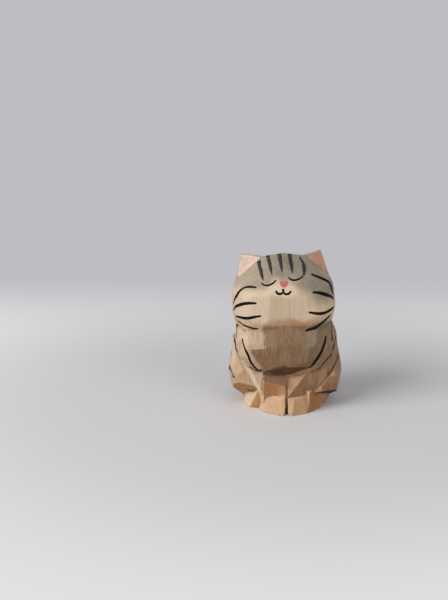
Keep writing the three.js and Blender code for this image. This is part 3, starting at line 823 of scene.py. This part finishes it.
head_strokes = {
    "forehead_stripe_1": (2.5, fading, [(-103, 62.5), (-77, 61.5), (-56, 57.5), (-40, 50), (-29, 42)]),
    "forehead_stripe_2": (
        2.45, fading, [(-128, 72), (-112, 74), (-78, 75), (-38, 68), (-22, 57), (-17, 51)]),
    "forehead_stripe_3": (2.7, fading, [(-175, 73), (-170, 80), (-11, 83.5), (0, 68), (2, 54)]),
    "forehead_stripe_4": (
        2.75, fading, [(145, 70), (136, 76), (63, 78), (35, 68.5), (25.5, 59), (20.5, 50.5)]),
    "forehead_stripe_5": (
        2.1, (0.45, 1.0, 0.2, 0.7),
        [(104, 67.5), (94, 66.3), (83, 62.3), (64, 56.5), (48, 49.3), (41.5, 46.6)]),
    "right_eye_line": (0.9, even, [(-33, 39.4), (-27.5, 37.6), (-21.5, 37.8), (-15, 40.4), (-8.5, 45.2)]),
    "left_eye_line": (0.95, even, [(11.5, 47.3), (16.5, 43.8), (23.5, 42.3), (33, 43.3), (41, 46.8)]),
    "right_cheek_stripe_1": (1.45, swollen, [(-38, 33), (-55, 30.5), (-61.5, 25), (-67, 17.5), (-78, 5)]),
    "right_cheek_stripe_2": (1.55, swollen, [(-36, 14.5), (-49, 12.5), (-61, 8.5), (-69, 4.5), (-78, -2)]),
    "right_cheek_stripe_3": (1.45, swollen, [(-31, -2.2), (-40.5, -4), (-50, -6), (-61, -6.2), (-72, -7)]),
    "right_jaw_line": (1.1, even, [(-69, -11), (-57.5, -15.5), (-47, -19), (-37, -20)]),
    "left_cheek_stripe_1": (2.5, swollen, [(63, 45), (68, 38), (72.5, 31), (75.5, 19.5), (78, 10)]),
    "left_cheek_stripe_2": (1.7, swollen, [(42, 23), (50, 20.3), (60.5, 15), (71.5, 10), (80, 4)]),
    "left_cheek_stripe_3": (1.6, swollen, [(34.5, -0.5), (42, -3), (51.5, -5.2), (60, -5), (76, -3)]),
    "left_jaw_line": (
        1.75, (0.45, 1.0, 0.1), [(68, -9.8), (60, -15), (52.5, -18.6), (45, -22), (30.5, -26.6)]),
}
body_strokes = {
    "right_chest_line": (
        1.55, (0.3, 1.0, 0.45), [(-52, 25.5), (-48.5, 19), (-44, 12), (-41, 4), (-37, -2.5), (-30, -8.5)]),
    "left_chest_line": (1.75, (0.5, 1.0, 0.2), [(50, 29.5), (48, 25), (44, 19.5), (40.5, 13), (29.5, -2)]),
    "right_flank_stripe_1": (2.1, even, [(-98, 33), (-80, 29.5), (-75, 24.5), (-67, 20)]),
    "right_flank_stripe_2": (1.6, even, [(-106, 22), (-82, 19), (-74, 13.5), (-64, 8)]),
    "right_flank_stripe_3": (1.0, even, [(-112, 10), (-96, 8), (-87, 4), (-82, -2)]),
    "left_flank_stripe_1": (2.3, even, [(94, 38), (75, 36.5), (65.5, 31), (62.5, 22)]),
    "left_flank_stripe_2": (1.2, even, [(96, 24), (80, 19), (69, 11), (56, 5.5), (44, -5)]),
    "left_flank_stripe_3": (1.0, even, [(112, 10), (97, 8), (88, 3), (83, -4)]),
    "haunch_stripe": (2.0, even, [(-92, -20), (-84, -13.5), (-76, -14.5), (-65, -18.5)]),
    "back_stripe_1": (1.3, even, [(150, 27), (170, 24), (-170, 24), (-150, 27)]),
    "back_stripe_2": (1.4, even, [(146, 10), (168, 6), (-168, 6), (-146, 10)]),
    "back_stripe_3": (1.3, even, [(150, -8), (170, -12), (-170, -12), (-150, -8)]),
}
brushed_strokes = ("left_jaw_line", "left_flank_stripe_2")
mouth_middle = (1.8, 30.1)
mouth_strokes = [
    (1.15, rounded, [*marks, mouth_middle])
    for marks in (
        [(2.1, 34.9)], [(-9.9, 32.3), (-6.2, 28.4), (-1.8, 28.2)], [(13.9, 31), (9.6, 27.6), (5.1, 27.5)])
]
nose_points = [(-1.4, 37.4), (3.2, 35.7), (8.4, 37.2), (11.8, 42.6), (4, 44.2), (-4, 43.2)]

# How the strokes are laid: the usual distance from the middle to the wood, how long a stroke's steps
# are, how many there are across it, how long and how wide its tips are and how ragged its sides
usual_radius = 20.0
stroke_spacing = 0.28
stroke_across = 8
tip_length = 0.35
tip_share = 0.12
raggedness = 0.13

# Where in the noise the ragged edges start
head_seed = 0.0
body_seed = 90.0
mouth_seed = 200.0
nose_seed = 300.0
ear_seed = 310.0
seed_step = 5.3


def stroke_width(part, shares):
    """The share of the full width at this part of the stroke."""
    start, middle, end, thinning = (*shares, 0.45)[:4]
    swell = max(math.sin(math.pi * part), 0.0) ** thinning
    ends = start + (end - start) * part
    return ends + (middle - ends) * swell


def ribbon(surface, middle, stroke, see, seed):
    """The points, faces and pattern places of one brush stroke laid on the wood."""
    width, shares, marks = stroke
    marks = [see(*mark) for mark in marks]
    path = smooth_path(marks, 64)
    length = sum((b - a).length for a, b in zip(path, path[1:])) * usual_radius
    steps = max(10, math.ceil(length / stroke_spacing))
    path = smooth_path(marks, steps)
    points = []
    places = []
    for i, direction in enumerate(path):
        part = i / steps
        direction = direction.normalized()
        along = (path[min(i + 1, steps)] - path[max(i - 1, 0)]).normalized()
        across = direction.cross(along).normalized()
        tip = min(1.0, min(part, 1.0 - part) * length / tip_length + tip_share) ** 0.6
        half = width * stroke_width(part, shares) / 2 * tip
        for k in range(stroke_across + 1):
            side = 2.0 * k / stroke_across - 1.0
            ragged = noise.noise(Vector((part * length * 0.9, side * 0.7, seed)))
            sideways = side * half * (1.0 + raggedness * ragged)
            start = middle + across * sideways + direction * ray_start
            hit, normal = surface.ray_cast(start, -direction)[:2]
            lift = paint_thickness * math.sqrt(max(0.0, 1.0 - side * side)) * min(1.0, tip + 0.2)
            points.append((hit, normal, lift))
            places.append((part * length, sideways))
    points, faces = strip(points, stroke_across + 1, steps + 1)
    return points, faces, places * 2


def upper_and_lower(points, first_lower=0):
    """The painted side over points on the wood, and the hidden side, from first_lower on."""
    upper = [hit + normal * (lift - paint_sunk) for hit, normal, lift in points]
    return upper + [hit - normal * paint_depth for hit, normal, lift in points[first_lower:]]


def strip(points, across, along):
    """A closed thin shell over a grid of points on the wood, each lifted by its own amount."""
    total = len(points)
    faces = []
    for i in range(along - 1):
        for k in range(across - 1):
            a = i * across + k
            quad = (a, a + 1, a + 1 + across, a + across)
            faces.append(quad)
            faces.append(tuple(total + corner for corner in reversed(quad)))
    rim = list(range(across))
    rim += [i * across + across - 1 for i in range(1, along)]
    rim += [(along - 1) * across + k for k in range(across - 2, -1, -1)]
    rim += [i * across for i in range(along - 2, 0, -1)]
    for a, b in zip(rim, rim[1:] + rim[:1]):
        faces.append((b, a, total + a, total + b))
    return upper_and_lower(points), faces


def patch(surface, outline, centre, direction_of, seed, rings=9):
    """A painted patch inside a closed outline: rings of points from the centre out to its edge."""
    count = len(outline)
    points = []
    for r in range(rings + 1):
        share = r / rings
        for k, corner in enumerate(outline):
            wobble = 1.0 + 0.05 * share * noise.noise(Vector((k * 0.35, seed, 0.0)))
            mark = centre.lerp(corner, max(share, 0.02) * wobble)
            start, direction = direction_of(mark)
            hit, normal = surface.ray_cast(start, direction)[:2]
            if hit is None:
                hit, normal = surface.find_nearest(start)[:2]
            lift = paint_thickness * math.sqrt(max(0.0, 1.0 - share ** 4))
            points.append((hit, normal, lift))
    total = len(points)
    rim = total - count
    faces = [tuple(range(count))]
    for r in range(rings):
        for k in range(count):
            a = r * count + k
            b = r * count + (k + 1) % count
            faces.append((a + count, b + count, b, a))
    for k in range(count):
        after = (k + 1) % count
        faces.append((total + k, total + after, rim + after, rim + k))
    return upper_and_lower(points, rim), faces


def middle_of(points):
    return sum(points, Vector()) / len(points)


def paint_piece(node, material, points, faces, places):
    """A painted piece that stands for its CAD film. The paint's pattern lies by the places."""
    mesh = mesh_from(node + "_paint", points, faces)
    layer = mesh.uv_layers.new(name="stroke")
    for loop in mesh.loops:
        layer.data[loop.index].uv = places[loop.vertex_index]
    add_piece(node + "_paint", mesh, material, node)
    return mesh


def stroke_piece(node, material, strokes):
    """One painted piece from one or more strokes."""
    points = []
    faces = []
    places = []
    for stroke_points, stroke_faces, stroke_places in strokes:
        shift = len(points)
        points += stroke_points
        faces += [tuple(shift + corner for corner in face) for face in stroke_faces]
        places += stroke_places
    paint_piece(node, material, points, faces, places)


def patch_piece(node, material, made):
    points, faces = made
    places = [(point.x, point.z) for point in points]
    mesh = paint_piece(node, material, points, faces, places)
    solid = bmesh.new()
    solid.from_mesh(mesh)
    bmesh.ops.recalc_face_normals(solid, faces=solid.faces)
    solid.to_mesh(mesh)
    solid.free()
    return mesh


def film_outline(node, count):
    """Points round the front face of a flat CAD film, in millimetres, with its corners rounded."""
    solid = welded(nodes[node].data)
    front = [face for face in solid.faces if face.normal.y < -0.2]
    normal = sum((face.normal * face.calc_area() for face in front), Vector()).normalized()
    front = [face for face in front if face.normal.dot(normal) > 0.98]
    edges = [edge for face in front for edge in face.edges]
    rim = [edge for edge in edges if edges.count(edge) == 1]
    loop = [rim[0].verts[0]]
    while rim:
        edge = next((e for e in rim if loop[-1] in e.verts), None)
        if edge is None:
            break
        rim.remove(edge)
        loop.append(edge.other_vert(loop[-1]))
    corners = [vert.co / MM for vert in loop[:-1]]
    solid.free()
    points = spaced(corners + corners[:1], count, to_end=False)
    for _ in range(2):
        points = [
            (points[k - 1] + points[k] * 2 + points[(k + 1) % count]) / 4 for k in range(count)
        ]
    return points, normal


def make_paint(surface, facets, wood):
    made = {name: paint_material(name) for name in paints}

    def paint_of(node):
        if node.startswith("forehead"):
            return made["dry_black_paint"]
        if node in brushed_strokes:
            return made["brushed_black_paint"]
        return made["black_paint"]

    def laid(strokes, middle, see, first_seed):
        return [
            ribbon(surface, middle, stroke, see, first_seed + i * seed_step)
            for i, stroke in enumerate(strokes)
        ]

    on_head = laid(head_strokes.values(), head_middle, towards_on_head, head_seed)
    on_body = laid(body_strokes.values(), body_middle, towards, body_seed)
    for node, stroke in zip((*head_strokes, *body_strokes), on_head + on_body):
        stroke_piece(node, paint_of(node), [stroke])
    mouth = laid(mouth_strokes, head_middle, towards_on_head, mouth_seed)
    stroke_piece("mouth_line", made["black_paint"], mouth)
    make_nose(surface, made["pink_paint"])
    make_ear_tints(surface, facets, wood)


def make_nose(surface, material):
    outline = closed_outline([towards_on_head(*point) for point in nose_points], 8)

    def inwards(mark):
        direction = mark.normalized()
        return head_middle + direction * ray_start, -direction

    made = patch(surface, outline, middle_of(outline), inwards, nose_seed)
    patch_piece("nose", material, made)


# The ear tints are thin washes: the pale one lies evenly and runs a little over the ear's inner
# edge, and the warm one fades towards the crown and the tip, between two places across and up.
ear_tints = {
    "right_ear_tint": {"colour": (244, 216, 205), "share": 0.97, "spread": 1.09, "over": 1.1},
    "left_ear_tint": {
        "colour": (180, 134, 108), "share": 0.95, "spread": 1.07, "over": 0.0,
        "fade_across": (9.0, 12.5), "fade_up": (69.3, 67.0)},
}


def make_ear_tints(surface, facets, wood):
    for node, tint in ear_tints.items():
        outline, normal = film_outline(node, 60)
        centre = middle_of(outline)
        outline = [centre + (corner - centre) * tint["spread"] for corner in outline]
        inner = Vector((-math.copysign(0.7, centre.x), 0.0, -0.7))
        outline = [
            corner + inner * tint["over"] * float(ease(0.0, 1.5, (corner - centre).dot(inner)))
            for corner in outline
        ]

        def onto_ear(mark, normal=normal):
            return mark + normal, -normal

        def tinted(colour, points, tint=tint):
            share = np.full(len(points), tint["share"])
            if "fade_across" in tint:
                uneven = 0.6 * blot(points, 2.5, 3)
                share *= ease(*tint["fade_across"], points[:, 0] + uneven)
                share *= ease(*tint["fade_up"], points[:, 2] + uneven)
            return colour * (1.0 - share[:, None]) + on_screen(tint["colour"]) * share[:, None]

        made = patch(surface, outline, centre, onto_ear, ear_seed)
        mesh = patch_piece(node, wood, made)
        points = np.array([vert.co / MM for vert in mesh.vertices])
        store_stain_and_shade(mesh, read_points(points, facets), facets, tinted)


# The floor, the backdrop and the light, in metres and watts

floor_radius = 4.0
floor_colour = (228, 227, 229)
floor_glow = (132, 98, 70)
backdrop_colour = (190, 189, 194)
room_colour = (226, 228, 232)
room_strength = 0.42

# The lamps, each with its place, power, width and colour, face the middle of the cat.
lit_middle = Vector((0.0, 0.0, 0.035))
lamps = {
    "key": ((-1.15, -0.95, 1.05), 21.5, 1.1, (1.0, 0.985, 0.96)),
    "fill": ((1.1, -1.3, 0.75), 7.5, 1.2, (0.97, 0.98, 1.0)),
}


def floor_material():
    """The floor looks pale, and the light that it throws back at the cat is warm. Far from the cat
    there is no shadow to show, so there it is simply the backdrop's colour."""
    shader = Shader("floor", 0.9)
    seen = shader.seen()
    colour = shader.colour_mix(seen, floor_glow, floor_colour)
    shader.fill(shader.surface, {"Base Color": colour})

    place = shader.node("ShaderNodeTexCoord").outputs["Object"]
    distance = shader.node("ShaderNodeVectorMath", {0: place}, operation="LENGTH").outputs["Value"]
    axes = shader.node("ShaderNodeSeparateXYZ", {0: place})
    behind = shader.ramp(axes.outputs["Y"], (0.08, 0.22, 0.0, 1.0))
    outside = shader.ramp(distance, (0.5, 2.5, 0.0, 1.0))
    further = shader.math("MAXIMUM", behind, outside)
    colour = shader.colour_mix(further, floor_colour, backdrop_colour)
    backdrop = shader.node("ShaderNodeEmission", {"Color": colour})
    plain = shader.math("MULTIPLY", shader.ramp(distance, (0.08, 0.24, 0.0, 1.0)), seen)
    mixed = shader.shader_mix(plain, shader.surface.outputs[0], backdrop.outputs[0])
    shader.fill(shader.tree.nodes["Material Output"], {"Surface": mixed})
    return shader.material


def make_stage():
    """A pale floor that runs out into a plain pale backdrop."""
    mesh = bpy.data.meshes.new("floor")
    shape = bmesh.new()
    bmesh.ops.create_circle(shape, cap_ends=True, radius=floor_radius, segments=128)
    shape.to_mesh(mesh)
    shape.free()
    floor = bpy.data.objects.new("floor", mesh)
    bpy.context.scene.collection.objects.link(floor)
    mesh.materials.append(floor_material())


def make_room():
    """Soft light from all sides. Where it is seen itself, it has the backdrop's colour."""
    world = bpy.data.worlds.new("studio")
    world.use_nodes = True
    bpy.context.scene.world = world
    room = Tree(world.node_tree)
    light = room.tree.nodes["Background"]
    room.fill(light, {"Color": room_colour, "Strength": room_strength})
    backdrop = room.node("ShaderNodeBackground", {"Color": backdrop_colour})
    mixed = room.shader_mix(room.seen(), light.outputs[0], backdrop.outputs[0])
    room.fill(room.tree.nodes["World Output"], {"Surface": mixed})


def make_lamps():
    for name, (place, power, width, colour) in lamps.items():
        light = bpy.data.lights.new(name, "AREA")
        light.energy = power
        light.size = width
        light.color = colour
        holder = bpy.data.objects.new(name, light)
        holder.location = place
        aim = lit_middle - Vector(place)
        holder.rotation_euler = aim.to_track_quat("-Z", "Y").to_euler()
        bpy.context.scene.collection.objects.link(holder)


# The scene

make_camera()
make_stage()
make_room()
make_lamps()
facets = Facets(nodes["wooden_body"].data)
limewood = wood_material()
surface = make_wood(facets, limewood)
make_paint(surface, facets, limewood)

bpy.context.scene.view_settings.view_transform = "Standard"
